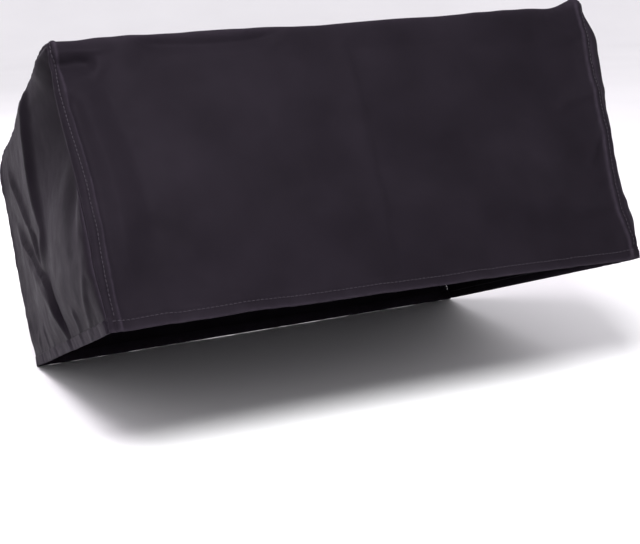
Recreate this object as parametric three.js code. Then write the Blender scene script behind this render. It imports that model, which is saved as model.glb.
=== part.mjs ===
// A fitted dust cover of thin woven cloth for a desktop machine, in the shape that it takes
// when it hangs over the machine's propped-open lid, like a low tent.
//
// One long strip of cloth makes the front, the top and the back. A side panel closes each end.
// Each side seam is sewn, turned in and topstitched, and the bottom edge has a turned hem all round.
//
// Millimetres. +X is to the right, +Y to the back and +Z up. The origin lies on the inner face of
// the top, behind the ridge and halfway across, where the cover bears on the lid that holds it up.
//
// The side view is drawn in (y, z) from the ridge, the sharp corner that the front and the top
// would meet in. "Depth" is measured from the strip's outer face, into the cover.

import * as THREE from 'three';

const { degToRad, lerp } = THREE.MathUtils;

// The cut of the cover
const WIDTH = 474; // from side seam to side seam
const FRONT_DROP = 237; // ridge to front hem, along the cloth
const TOP_DEPTH = 366; // ridge to rear fold
const BACK_DROP = 228; // rear fold to back hem

// How it hangs, in degrees
const FRONT_LEAN = 26.8; // the front leans back from upright
const TOP_FALL = 21.7; // the top falls to the back from level
const BACK_LEAN = 32.5; // the back comes forward from upright as it drops

// Folds and fullness
const RIDGE_RADIUS = 8;
const REAR_RADIUS = 35;
const FOLD_STEPS = 8; // flats in each rounded fold, an even number
const SIDE_BULGE = 5; // how far the slack of a side panel stands out
const SIDE_ROWS = 6; // steps in a side panel's straight edges, from its hem to its rounded corners
const SIDE_COLUMNS = 8; // steps in its straight top edge

// Cloth and sewing
const CLOTH = 0.8; // one ply
const PLIES = 2 * CLOTH; // a hem or a seam allowance, on top of the panel's own ply
const GAP = 0.3; // kept between pieces that touch
const HEM = 10; // depth of the turned hem
const HEM_STITCH = 8; // hem stitches, above the edge
const ALLOWANCE = 10; // seam allowance, from the seam to its raw edge
const TOPSTITCH = 5; // topstitching, in from the seam
const CLOSING_STITCH = 1.5; // row that joins the panels, in from the fold of the allowance
const THREAD = 0.6;
const ROW_END = 2; // how far a row of stitches stops short of an edge or a hem

// The mount
const MOUNT_SETBACK = 60; // behind the ridge, down the slope of the top

const SEAM_X = WIDTH / 2;
const INSIDE = CLOTH + GAP; // depth of whatever lies against the strip's inner face
const LINING = INSIDE + PLIES; // depth of the inner face of a hem or an allowance
const OUTSIDE = -GAP; // depth of whatever lies on the outer face

const CLOTH_MATERIAL = {
  color: 0x2f2c33,
  roughness: 0.62,
  metalness: 0,
  side: THREE.DoubleSide,
};
const SIDE_MATERIAL = { ...CLOTH_MATERIAL, color: 0x3a373e };
const HEM_MATERIAL = { ...CLOTH_MATERIAL, color: 0x2a272d, roughness: 0.68 };
const THREAD_MATERIAL = { color: 0x4a474e, roughness: 0.5, metalness: 0 };

// Directions in the side view, as angles from +Y: up the front, down the top, down the back.
const UP_FRONT = degToRad(90 - FRONT_LEAN);
const DOWN_TOP = degToRad(-TOP_FALL);
const DOWN_BACK = degToRad(-90 - BACK_LEAN);

const run = (heading) => new THREE.Vector2(Math.cos(heading), Math.sin(heading));
const inward = (heading) => new THREE.Vector2(Math.sin(heading), -Math.cos(heading));
const step = (from, direction, distance) => from.clone().addScaledVector(direction, distance);

const RIDGE = new THREE.Vector2(0, 0);
const FRONT_HEM = step(RIDGE, run(UP_FRONT), -FRONT_DROP);
const REAR_FOLD = step(RIDGE, run(DOWN_TOP), TOP_DEPTH);
const BACK_HEM = step(REAR_FOLD, run(DOWN_BACK), BACK_DROP);

// ---------------------------------------------------------------------------------------------
// The side view

// A station is a place on the strip's outer face and the direction that leads into the cover.
function station(point, heading) {
  return { point, inward: inward(heading) };
}

// The stations round a fold at a corner, from the cloth's one heading to its next.
function fold(corner, before, after, radius) {
  const turn = inward(before).add(inward(after));
  const closeness = 1 + inward(before).dot(inward(after));
  const centre = step(corner, turn, radius / closeness);
  return Array.from({ length: FOLD_STEPS + 1 }, (_, k) => {
    const heading = lerp(before, after, k / FOLD_STEPS);
    return station(step(centre, inward(heading), -radius), heading);
  });
}

const ridgeFold = fold(RIDGE, UP_FRONT, DOWN_TOP, RIDGE_RADIUS);
const rearFold = fold(REAR_FOLD, DOWN_TOP, DOWN_BACK, REAR_RADIUS);

// The whole strip from hem to hem, starting and ending a little way above the edges.
function profile(trim = 0) {
  return [
    station(step(FRONT_HEM, run(UP_FRONT), trim), UP_FRONT),
    ...ridgeFold,
    ...rearFold,
    station(step(BACK_HEM, run(DOWN_BACK), -trim), DOWN_BACK),
  ];
}

// A short stretch of the strip beside one of its two edges, between two heights along the cloth.
function nearFrontHem(low, high) {
  return [low, high].map((up) => station(step(FRONT_HEM, run(UP_FRONT), up), UP_FRONT));
}

function nearBackHem(low, high) {
  return [low, high].map((up) => station(step(BACK_HEM, run(DOWN_BACK), -up), DOWN_BACK));
}

// ---------------------------------------------------------------------------------------------
// Solids

// A closed sheet between two grids of points that have the same rows and columns.
function slab(outer, inner) {
  const rows = outer.length;
  const columns = outer[0].length;
  const points = [...outer.flat(), ...inner.flat()];
  const offset = rows * columns;
  const front = (r, c) => r * columns + c;
  const back = (r, c) => offset + front(r, c);
  const triangles = [];
  const quad = (a, b, c, d) => triangles.push([a, b, c], [a, c, d]);

  for (let r = 0; r + 1 < rows; r += 1) {
    for (let c = 0; c + 1 < columns; c += 1) {
      quad(front(r, c), front(r, c + 1), front(r + 1, c + 1), front(r + 1, c));
      quad(back(r, c), back(r + 1, c), back(r + 1, c + 1), back(r, c + 1));
    }
  }
  for (let c = 0; c + 1 < columns; c += 1) {
    const last = rows - 1;
    quad(front(0, c), back(0, c), back(0, c + 1), front(0, c + 1));
    quad(front(last, c), front(last, c + 1), back(last, c + 1), back(last, c));
  }
  for (let r = 0; r + 1 < rows; r += 1) {
    const last = columns - 1;
    quad(front(r, 0), front(r + 1, 0), back(r + 1, 0), back(r, 0));
    quad(front(r, last), back(r, last), back(r + 1, last), front(r + 1, last));
  }
  return closedGeometry(points, triangles);
}

// The faces of a slab all point the same way, in or out, depending on which side it was drawn from.
function closedGeometry(points, triangles) {
  const volume = triangles.reduce((sum, [a, b, c]) => {
    return sum + points[a].dot(points[b].clone().cross(points[c]));
  }, 0);
  const outFacing = volume > 0 ? triangles : triangles.map(([a, b, c]) => [a, c, b]);
  const geometry = new THREE.BufferGeometry().setFromPoints(points);
  geometry.setIndex(outFacing.flat());
  geometry.computeVertexNormals();
  return geometry;
}

// A strip that follows stations of the side view, between two depths, with an edge at each x.
function strip(stations, xs, depthOut, depthIn) {
  const layer = (depth) => stations.map(({ point, inward: into }) => {
    const { x: y, y: z } = step(point, into, depth);
    return xs.map((x) => new THREE.Vector3(x, y, z));
  });
  return slab(layer(depthOut), layer(depthIn));
}

// A row of stitches is one continuous thread, drawn as a narrow strip that lies on the cloth.
function threadAlong(stations, x, depthOut) {
  return strip(stations, [x - THREAD / 2, x + THREAD / 2], depthOut, depthOut + THREAD);
}

// ---------------------------------------------------------------------------------------------
// The long strip: front, top and back

// The strip is divided inside its seams, so that the flat that bears on the lid is a plain face.
function wrapPanel() {
  const bearing = SEAM_X - ALLOWANCE - ROW_END;
  return strip(profile(), [-SEAM_X, -bearing, bearing, SEAM_X], 0, CLOTH);
}

function frontHem() {
  return strip(nearFrontHem(0, HEM), [-SEAM_X, SEAM_X], INSIDE, LINING);
}

function backHem() {
  return strip(nearBackHem(0, HEM), [-SEAM_X, SEAM_X], INSIDE, LINING);
}

function hemThread(nearHem) {
  const row = nearHem(HEM_STITCH - THREAD / 2, HEM_STITCH + THREAD / 2);
  const end = SEAM_X - ROW_END;
  return strip(row, [-end, end], OUTSIDE - THREAD, OUTSIDE);
}

// ---------------------------------------------------------------------------------------------
// The side panels. Each is drawn for the right and mirrored for the left: side is 1 or -1.

// Points along a straight line, both ends included.
function alongLine(from, to, pieces) {
  return Array.from({ length: pieces + 1 }, (_, k) => from.clone().lerp(to, k / pieces));
}

// Each rounded corner belongs half to the edge below it and half to the top edge.
function sideEdges() {
  const half = FOLD_STEPS / 2;
  const points = (stations) => stations.map(({ point }) => point);
  const ridge = points(ridgeFold);
  const rear = points(rearFold);
  const [hemFoot, hemTop] = points(nearFrontHem(0, HEM));
  const [backFoot, backTop] = points(nearBackHem(0, HEM));
  const front = [
    hemFoot,
    ...alongLine(hemTop, ridge[0], SIDE_ROWS),
    ...ridge.slice(1, half + 1),
  ];
  const back = [
    backFoot,
    ...alongLine(backTop, rear.at(-1), SIDE_ROWS),
    ...rear.slice(half, -1).reverse(),
  ];
  const top = [
    ...ridge.slice(half, -1),
    ...alongLine(ridge.at(-1), rear[0], SIDE_COLUMNS),
    ...rear.slice(1, half + 1),
  ];
  const hem = alongLine(FRONT_HEM, BACK_HEM, top.length - 1);
  return { front, back, top, hem };
}

// A smooth patch between the four edges: column c runs along the hem, row r up from it.
// The first row is the turned hem, which stays flat, and the fullness starts above it.
function patchPoint({ front, back, top, hem }, r, c) {
  const v = r / (front.length - 1);
  const rise = Math.max(0, r - 1) / (front.length - 2);
  const u = c / (hem.length - 1);
  const across = front[r].clone().lerp(back[r], u);
  const upward = hem[c].clone().lerp(top[c], v);
  const low = hem[0].clone().lerp(hem.at(-1), u);
  const high = top[0].clone().lerp(top.at(-1), u);
  const fullness = (Math.sin(Math.PI * u) * Math.sin(Math.PI * rise)) ** 2;
  return { place: across.add(upward).sub(low.lerp(high, v)), fullness };
}

function sidePanel(side) {
  const edges = sideEdges();
  const layer = (clear) => edges.front.map((_, r) => edges.hem.map((__, c) => {
    const { place, fullness } = patchPoint(edges, r, c);
    const x = SEAM_X + clear + SIDE_BULGE * fullness;
    return new THREE.Vector3(side * x, place.x, place.y);
  }));
  return slab(layer(GAP + CLOTH), layer(GAP));
}

// A place near a side hem: so far above the hem line, and so deep behind the front or the back.
function nearSideHem(height, depth) {
  const along = BACK_HEM.clone().sub(FRONT_HEM).normalize();
  const up = new THREE.Vector2(-along.y, along.x);
  const place = (end, heading) => {
    const start = step(end, up, height);
    const missing = depth - start.clone().sub(end).dot(inward(heading));
    return step(start, along, missing / along.dot(inward(heading)));
  };
  return [place(FRONT_HEM, UP_FRONT), place(BACK_HEM, DOWN_BACK)];
}

// A flat strip along a side hem, between two heights and two distances from the middle.
function sideStrip(side, heights, depth, xs) {
  const layer = (x) => heights.map((height) => nearSideHem(height, depth)
    .map((place) => new THREE.Vector3(side * x, place.x, place.y)));
  return slab(layer(xs[0]), layer(xs[1]));
}

function sideHem(side) {
  return sideStrip(side, [0, HEM], LINING + GAP, [SEAM_X, SEAM_X - PLIES]);
}

function sideHemThread(side) {
  const face = SEAM_X + GAP + CLOTH + GAP;
  const heights = [HEM_STITCH - THREAD / 2, HEM_STITCH + THREAD / 2];
  return sideStrip(side, heights, ROW_END, [face + THREAD, face]);
}

// ---------------------------------------------------------------------------------------------
// The side seams, inside and out

function seamAllowance(side) {
  const xs = [side * SEAM_X, side * (SEAM_X - ALLOWANCE)];
  return strip(profile(HEM + GAP), xs, INSIDE, LINING);
}

// The overlock thread wraps the allowance's raw edge.
function overlockThread(side) {
  const edge = SEAM_X - ALLOWANCE - GAP;
  const xs = [side * edge, side * (edge - THREAD)];
  return strip(profile(HEM + GAP), xs, INSIDE, LINING);
}

function closingStitch(side) {
  const x = side * (SEAM_X - CLOSING_STITCH);
  return threadAlong(profile(HEM + ROW_END), x, LINING + GAP);
}

function topstitch(side) {
  const x = side * (SEAM_X - TOPSTITCH);
  return threadAlong(profile(HEM + ROW_END), x, OUTSIDE - THREAD);
}

// ---------------------------------------------------------------------------------------------
// The cover

function piece(name, geometry, look) {
  const mesh = new THREE.Mesh(geometry, new THREE.MeshStandardMaterial(look));
  mesh.name = name;
  return mesh;
}

function sidePieces(name, side) {
  return [
    piece(`${name}_side_panel`, sidePanel(side), SIDE_MATERIAL),
    piece(`${name}_side_hem`, sideHem(side), HEM_MATERIAL),
    piece(`${name}_side_hem_thread`, sideHemThread(side), THREAD_MATERIAL),
    piece(`${name}_seam_allowance`, seamAllowance(side), HEM_MATERIAL),
    piece(`${name}_overlock_thread`, overlockThread(side), THREAD_MATERIAL),
    piece(`${name}_closing_stitch`, closingStitch(side), THREAD_MATERIAL),
    piece(`${name}_topstitch`, topstitch(side), THREAD_MATERIAL),
  ];
}

function cover() {
  const group = new THREE.Group();
  group.add(
    piece('wrap_panel', wrapPanel(), CLOTH_MATERIAL),
    piece('front_hem', frontHem(), HEM_MATERIAL),
    piece('back_hem', backHem(), HEM_MATERIAL),
    piece('front_hem_thread', hemThread(nearFrontHem), THREAD_MATERIAL),
    piece('back_hem_thread', hemThread(nearBackHem), THREAD_MATERIAL),
    ...sidePieces('left', -1),
    ...sidePieces('right', 1),
  );
  return group;
}

// Moves the cover so that the mount, on the inner face of the top, is the origin.
const mount = step(step(RIDGE, run(DOWN_TOP), MOUNT_SETBACK), inward(DOWN_TOP), CLOTH);
const model = cover();
model.position.set(0, -mount.x, -mount.y);

const root = new THREE.Group();
root.add(model);

export default root;
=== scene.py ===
# A fitted dust cover of thin black nylon for a desktop machine, as it hangs over the machine's
# propped-open lid, like a low tent. One long strip makes the front, the top and the back, and a
# side panel closes each end.
#
# Metres. +X is to the right, +Y to the back and +Z up. The strip has two coordinates: s runs along
# it, from the front hem over the ridge and the rear fold to the back hem, and q across it, from -1
# at the left seam to 1 at the right one. A side panel has u, from its front seam to its back seam,
# and v, from its hem to its top seam.

import math
from collections import namedtuple

import bpy
import numpy as np
from mathutils import Matrix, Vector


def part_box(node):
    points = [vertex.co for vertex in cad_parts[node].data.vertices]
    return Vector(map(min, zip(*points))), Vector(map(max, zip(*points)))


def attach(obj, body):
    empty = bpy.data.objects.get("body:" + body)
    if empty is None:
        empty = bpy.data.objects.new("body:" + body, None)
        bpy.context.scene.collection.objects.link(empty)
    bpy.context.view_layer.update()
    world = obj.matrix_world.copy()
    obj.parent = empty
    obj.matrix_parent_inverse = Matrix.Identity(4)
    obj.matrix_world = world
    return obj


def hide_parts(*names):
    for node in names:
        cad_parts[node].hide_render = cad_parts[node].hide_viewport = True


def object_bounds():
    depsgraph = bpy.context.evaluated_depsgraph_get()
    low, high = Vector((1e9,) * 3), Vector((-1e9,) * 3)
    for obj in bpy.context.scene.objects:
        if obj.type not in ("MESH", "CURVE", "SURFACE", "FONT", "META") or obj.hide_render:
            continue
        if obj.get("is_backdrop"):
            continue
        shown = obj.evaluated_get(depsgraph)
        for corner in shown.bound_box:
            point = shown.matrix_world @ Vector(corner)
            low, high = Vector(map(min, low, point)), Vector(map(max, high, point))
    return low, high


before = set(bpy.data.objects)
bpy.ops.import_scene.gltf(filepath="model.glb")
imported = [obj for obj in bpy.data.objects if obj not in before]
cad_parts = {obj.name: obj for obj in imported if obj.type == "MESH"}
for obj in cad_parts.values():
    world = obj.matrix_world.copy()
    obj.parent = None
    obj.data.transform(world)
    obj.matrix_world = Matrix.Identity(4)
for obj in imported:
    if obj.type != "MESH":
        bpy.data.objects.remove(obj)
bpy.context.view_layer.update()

# The cut and the hang of the cover, as in the CAD part
FRONT_DROP = 0.237
TOP_DEPTH = 0.366
BACK_DROP = 0.228
FRONT_LEAN = 26.8
TOP_FALL = 21.7
BACK_LEAN = 32.5
RIDGE_RADIUS = 0.004
REAR_RADIUS = 0.035

# Cloth and sewing
CLOTH = 0.0006
PLIES = 0.0014
HEM = 0.010
HEM_STITCH = 0.008
ALLOWANCE = 0.010
TOPSTITCH = 0.005
CLOSING_STITCH = 0.0015
STITCH_PITCH = 0.0036
STITCH_LENGTH = 0.0029
STITCH_LIFT = 0.0001
THREAD_RADIUS = 0.00033
OVERLOCK_RADIUS = 0.00026
OVERLOCK_PITCH = 0.0030
WEAVE_PITCH = 0.0009

# Places along the strip
RIDGE_AT = FRONT_DROP
REAR_AT = RIDGE_AT + TOP_DEPTH
STRIP_END = REAR_AT + BACK_DROP
STATIONS = (0, RIDGE_AT, REAR_AT, STRIP_END)

# How the cover spreads, from hem to hem: half its width, how deep its edges roll down to the
# seams, and how far its middle lies to the right and its right end higher than its middle.
HALF_WIDTH = (0.2340, 0.2432, 0.2310, 0.2335)
SHIFT = (0.0, 0.0030, 0.0, 0.0)
EDGE_ROLL = (0.0015, 0.0045, 0.0070, 0.0030)
TILT = (-0.0035, 0.0025, 0.0, 0.0)

UP_FRONT = math.radians(90 - FRONT_LEAN)
DOWN_TOP = math.radians(-TOP_FALL)
DOWN_BACK = math.radians(-90 - BACK_LEAN)


def run(angle):
    """A step of length 1 in the side view, in (y, z)."""
    return np.stack([np.cos(angle), np.sin(angle)], -1)


def inward(angle):
    """The step square to a run, towards the inside of the cover."""
    return np.stack([np.sin(angle), -np.cos(angle)], -1)


# The corners of the side view, in (y, z), worked out from the box of the CAD strip
STRIP_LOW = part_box("wrap_panel")[0]
RIDGE = np.array([
    STRIP_LOW.y + FRONT_DROP * math.cos(UP_FRONT),
    STRIP_LOW.z - TOP_DEPTH * math.sin(DOWN_TOP) - BACK_DROP * math.sin(DOWN_BACK),
])
FRONT_HEM = RIDGE - FRONT_DROP * run(UP_FRONT)
REAR_FOLD = RIDGE + TOP_DEPTH * run(DOWN_TOP)
BACK_HEM = REAR_FOLD + BACK_DROP * run(DOWN_BACK)
CORNERS = (
    (RIDGE, RIDGE_AT, UP_FRONT, DOWN_TOP, RIDGE_RADIUS),
    (REAR_FOLD, REAR_AT, DOWN_TOP, DOWN_BACK, REAR_RADIUS),
)
HEM_LENGTH = float(np.linalg.norm(BACK_HEM - FRONT_HEM))
HEM_LINE = (BACK_HEM - FRONT_HEM) / HEM_LENGTH
ABOVE_HEM = np.array([-HEM_LINE[1], HEM_LINE[0]])


# ---------- Small tools

def smooth(low, high, value):
    """A smooth step from 0 at low to 1 at high."""
    t = np.clip((value - low) / (high - low), 0, 1)
    return t * t * (3 - 2 * t)


def peak(value, at, width):
    """A smooth peak of height 1."""
    return np.exp(-((value - at) / width) ** 2)


def eased(s, values):
    """Values given at the stations, with smooth steps between them."""
    result = np.full(np.shape(s), float(values[0]))
    for k in range(3):
        result += (values[k + 1] - values[k]) * smooth(STATIONS[k], STATIONS[k + 1], s)
    return result


def cubic(values, at):
    """Values between the rows of an array, on smooth cubic curves."""
    last = len(values) - 1
    k = np.clip(np.floor(at).astype(int), 0, last - 1)
    t = (at - k).reshape(-1, *[1] * (values.ndim - 1))
    before = values[np.maximum(k - 1, 0)]
    here = values[k]
    there = values[k + 1]
    after = values[np.minimum(k + 2, last)]
    bend = 2 * before - 5 * here + 4 * there - after
    return here + t / 2 * (there - before + t * (bend + t * (3 * (here - there) + after - before)))


def resample(grid, rows, columns):
    """A grid read at fractional rows and columns."""
    return cubic(cubic(grid, rows).swapaxes(0, 1), columns).swapaxes(0, 1)


def unevenness(seed, a, b, size_a, size_b):
    """A smooth random field over the coordinates a (rows) and b (columns), about -1 to 1."""
    draws = np.random.default_rng(seed)
    count_a = int(np.ptp(a) / size_a) + 4
    count_b = int(np.ptp(b) / size_b) + 4
    field = draws.uniform(-1, 1, (count_a, count_b))
    return resample(field, (a - a.min()) / size_a + 1, (b - b.min()) / size_b + 1)


def graded(*stretches):
    """Values that run through stretches of (end, step), starting from 0."""
    values = [0.0]
    for end, step in stretches:
        count = max(1, round((end - values[-1]) / step))
        values.extend(np.linspace(values[-1], end, count + 1)[1:])
    return np.array(values)


def normals_of(points):
    """Unit normals of a grid of points. They point to rows x columns."""
    down = np.gradient(points, axis=0)
    across = np.gradient(points, axis=1)
    normals = np.cross(across, down)
    return normals / np.linalg.norm(normals, axis=-1, keepdims=True)


# ---------- Folds, creases and swellings

# A fold follows a path. It stands out (or in, where height is negative) and dies away over a
# width to the left of its path and another to the right. Its height may be one number, or
# several that are spread evenly along the path. A swell is a soft mound or hollow.
Fold = namedtuple("Fold", "height left right path sharpness", defaults=[1.7])
Swell = namedtuple("Swell", "height place reach")


def follow(points, path):
    """How far points lie from a path, positive on its left, and how far along it, from 0 to 1."""
    path = np.array(path, float)
    steps = np.arange(0, len(path) - 1 + 1e-9, 0.25)
    route = cubic(path, steps)
    nearest = np.full(points.shape[:-1], 1e9)
    offset = np.zeros(points.shape[:-1])
    along = np.zeros(points.shape[:-1])
    for k in range(len(route) - 1):
        start = route[k]
        leg = route[k + 1] - start
        length = np.linalg.norm(leg)
        rel = points - start
        t = np.clip(rel @ leg / length**2, 0, 1)
        distance = np.linalg.norm(rel - t[..., None] * leg, axis=-1)
        left = (leg[0] * rel[..., 1] - leg[1] * rel[..., 0]) > 0
        closer = distance < nearest
        nearest = np.where(closer, distance, nearest)
        offset = np.where(closer, np.where(left, distance, -distance), offset)
        along = np.where(closer, (k + t) / (len(route) - 1), along)
    return offset, along


def relief(points, folds, swells):
    """The height of all folds and swells at the points."""
    height = np.zeros(points.shape[:-1])
    for fold in folds:
        offset, along = follow(points, fold.path)
        width = np.where(offset > 0, fold.left, fold.right)
        ends = smooth(0, 0.22, along) * smooth(0, 0.22, 1 - along)
        crest = np.interp(along, np.linspace(0, 1, np.size(fold.height)), np.atleast_1d(fold.height))
        height += crest * ends * np.exp(-np.abs(offset / width) ** fold.sharpness)
    for swell in swells:
        away = (points - np.array(swell.place)) / np.array(swell.reach)
        height += swell.height * np.exp(-(away**2).sum(-1))
    return height


# On the strip, places are (x, distance behind the ridge): the front is negative.
STRIP_FOLDS = (
    # front: the crease down the middle from when the cover lay folded, and the one across it
    Fold(0.0022, 0.003, 0.014, [(0.003, -0.004), (0.004, -0.09), (0.003, -0.16), (0.001, -0.228)]),
    Fold(0.0007, 0.004, 0.008, [(-0.09, -0.153), (-0.02, -0.143), (0.05, -0.131), (0.11, -0.115)]),
    # front: a long valley and a long wave that run in from the right seam
    Fold(-0.0080, 0.028, 0.036, [(0.240, -0.082), (0.150, -0.104), (0.048, -0.131), (-0.069, -0.152)]),
    Fold(0.0056, 0.020, 0.030, [(0.236, -0.186), (0.120, -0.176), (0.010, -0.160), (-0.10, -0.172)]),
    # front: the puffed ridge beside the left seam, and the hollow on its far side
    Fold(0.0036, 0.011, 0.009, [
        (-0.226, -0.026), (-0.221, -0.060), (-0.213, -0.108), (-0.211, -0.160), (-0.214, -0.205),
    ]),
    Fold(-0.0032, 0.013, 0.009, [
        (-0.208, -0.026), (-0.200, -0.060), (-0.192, -0.100), (-0.188, -0.150), (-0.186, -0.20),
    ]),
    # front: the pinch below the ridge's left end, under a small overhang
    Fold(-0.0058, 0.0035, 0.009, [
        (-0.243, -0.019), (-0.232, -0.021), (-0.221, -0.020), (-0.206, -0.022),
    ]),
    Fold(0.0024, 0.008, 0.003, [
        (-0.244, -0.012), (-0.228, -0.012), (-0.212, -0.013), (-0.190, -0.012),
    ]),
    # front: the dark dip along the ridge's left half
    Fold(-0.0050, 0.0045, 0.0080, [
        (-0.180, -0.007), (-0.145, -0.011), (-0.095, -0.0125), (-0.045, -0.008),
    ]),
    # front: creases at the right seam's top
    Fold(0.0020, 0.005, 0.006, [(0.205, -0.006), (0.217, -0.012), (0.228, -0.020), (0.238, -0.034)]),
    Fold(-0.0016, 0.005, 0.006, [(0.200, -0.012), (0.212, -0.019), (0.224, -0.029), (0.234, -0.045)]),
    # front: puckers that run in from the right seam
    Fold(0.0024, 0.0035, 0.0060, [(0.247, -0.083), (0.234, -0.085), (0.216, -0.089), (0.196, -0.096)]),
    Fold(0.0020, 0.0035, 0.0055, [(0.244, -0.116), (0.233, -0.124), (0.223, -0.136), (0.214, -0.150)]),
    Fold(0.0020, 0.0040, 0.0060, [(0.242, -0.182), (0.226, -0.186), (0.204, -0.188), (0.180, -0.188)]),
    # front: the cloth lifts over the hem's stitches near its left end
    Fold(0.0016, 0.008, 0.010, [
        (-0.185, -0.190), (-0.160, -0.214), (-0.124, -0.236), (-0.090, -0.242),
    ]),
    Fold(0.0015, 0.006, 0.009, [
        (-0.232, -0.170), (-0.222, -0.195), (-0.205, -0.215), (-0.180, -0.236),
    ]),
    # top: shallow ripples along the lid, and the middle crease running on
    Fold(0.0009, 0.004, 0.008, [(0.003, 0.02), (0.001, 0.13), (0.003, 0.25), (0.002, 0.34)]),
    Fold(0.0008, 0.004, 0.007, [(-0.20, 0.118), (-0.06, 0.122), (0.08, 0.119), (0.20, 0.123)]),
    Fold(0.0028, 0.018, 0.024, [(-0.225, 0.06), (-0.15, 0.12), (-0.09, 0.20), (-0.06, 0.30)]),
    Fold(0.0024, 0.020, 0.018, [(0.225, 0.07), (0.165, 0.13), (0.12, 0.21), (0.10, 0.31)]),
    Fold(-0.0030, 0.030, 0.030, [(-0.16, 0.24), (-0.05, 0.27), (0.07, 0.26), (0.17, 0.23)]),
    # back: slack that hangs in soft swags from the rear corners
    Fold(0.0045, 0.020, 0.026, [(-0.222, 0.395), (-0.16, 0.44), (-0.08, 0.48), (0.0, 0.49)]),
    Fold(0.0042, 0.026, 0.020, [(0.222, 0.392), (0.17, 0.43), (0.10, 0.465), (0.02, 0.475)]),
    Fold(-0.0035, 0.022, 0.022, [(-0.205, 0.43), (-0.13, 0.48), (-0.04, 0.525), (0.05, 0.53)]),
    Fold(0.0034, 0.018, 0.022, [(-0.215, 0.47), (-0.17, 0.52), (-0.13, 0.56), (-0.12, 0.59)]),
    Fold(0.0036, 0.022, 0.016, [(0.213, 0.46), (0.18, 0.51), (0.15, 0.56), (0.145, 0.59)]),
    Fold(0.0012, 0.004, 0.009, [(0.003, 0.39), (0.001, 0.46), (0.003, 0.53), (0.002, 0.585)]),
)
STRIP_SWELLS = (
    Swell(0.0070, (-0.06, -0.130), (0.17, 0.075)),
    Swell(-0.0030, (0.140, -0.060), (0.090, 0.032)),
    Swell(0.0018, (-0.10, -0.075), (0.085, 0.045)),
    Swell(-0.0018, (-0.05, -0.205), (0.10, 0.028)),
    Swell(0.0045, (0.238, 0.002), (0.014, 0.016)),
    Swell(-0.0030, (0.01, 0.0), (0.18, 0.030)),
    Swell(-0.0022, (-0.236, 0.0), (0.034, 0.014)),
    Swell(-0.0018, (0.212, 0.0), (0.016, 0.012)),
    Swell(-0.0060, (0.0, 0.215), (0.17, 0.13)),
    Swell(0.0050, (0.0, 0.365), (0.20, 0.035)),
    Swell(-0.0060, (0.0, 0.49), (0.17, 0.08)),
)

# Each seam wanders out a little, or in where out is negative: out, distance behind the ridge, reach.
SEAM_WAVES = {
    -1: (
        (-0.0022, -0.120, 0.050),
        (0.0010, -0.195, 0.020),
        (0.0030, 0.385, 0.045),
        (0.0025, 0.500, 0.070),
    ),
    1: (
        (0.0046, -0.218, 0.022),
        (0.0038, -0.110, 0.060),
        (0.0026, -0.030, 0.022),
        (0.0010, 0.390, 0.040),
        (-0.0015, 0.480, 0.050),
    ),
}

# On a side panel, places are (distance behind the front seam along the hem, height above it).
LEFT_FOLDS = (
    # the long fold down from the top seam: gentle towards the back, steep towards the front
    Fold((0.002, 0.005, 0.006, 0.006, 0.006, 0.004, 0.005, 0.003), 0.045, 0.006, [
        (0.118, 0.246), (0.142, 0.226), (0.162, 0.200), (0.174, 0.172), (0.178, 0.148),
        (0.172, 0.124), (0.166, 0.104), (0.184, 0.084), (0.212, 0.070),
    ], 1.2),
    # the second fold, nearer the back, runs into the first
    Fold(0.0045, 0.022, 0.004, [
        (0.330, 0.204), (0.296, 0.174), (0.262, 0.148), (0.234, 0.126), (0.206, 0.098),
        (0.190, 0.076),
    ], 1.2),
    # the edge of the slack at the back, which laps over the middle of the panel, and the dip
    # under that edge
    Fold((0.002, 0.005, 0.006, 0.007, 0.005, 0.004), 0.055, 0.003, [
        (0.345, 0.156), (0.300, 0.126), (0.262, 0.105), (0.226, 0.086), (0.194, 0.070),
        (0.172, 0.054), (0.154, 0.026), (0.140, -0.016),
    ], 1.2),
    Fold(-0.0025, 0.003, 0.008, [
        (0.290, 0.114), (0.252, 0.095), (0.216, 0.077), (0.186, 0.061), (0.162, 0.045),
        (0.146, 0.020), (0.134, -0.012),
    ]),
    # puckers that run up from the hem
    Fold(0.0020, 0.003, 0.008, [(0.066, -0.006), (0.050, 0.014), (0.034, 0.034), (0.020, 0.050)], 1.3),
    Fold(0.0018, 0.004, 0.006, [(0.096, -0.004), (0.094, 0.014), (0.086, 0.032)]),
    Fold(0.0016, 0.004, 0.006, [(0.250, -0.004), (0.250, 0.016), (0.258, 0.036)]),
    Fold(0.0014, 0.004, 0.006, [(0.300, -0.004), (0.298, 0.014), (0.302, 0.030)]),
)
LEFT_SWELLS = (
    Swell(0.0070, (0.064, 0.224), (0.036, 0.011)),
    Swell(-0.0140, (0.044, 0.202), (0.018, 0.012)),
    Swell(-0.0205, (0.060, 0.174), (0.070, 0.045)),
    Swell(-0.0060, (0.040, 0.120), (0.020, 0.040)),
    Swell(0.0040, (0.070, 0.070), (0.060, 0.045)),
    Swell(0.0030, (0.130, 0.060), (0.050, 0.045)),
    Swell(-0.0035, (0.290, 0.050), (0.050, 0.060)),
)
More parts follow.
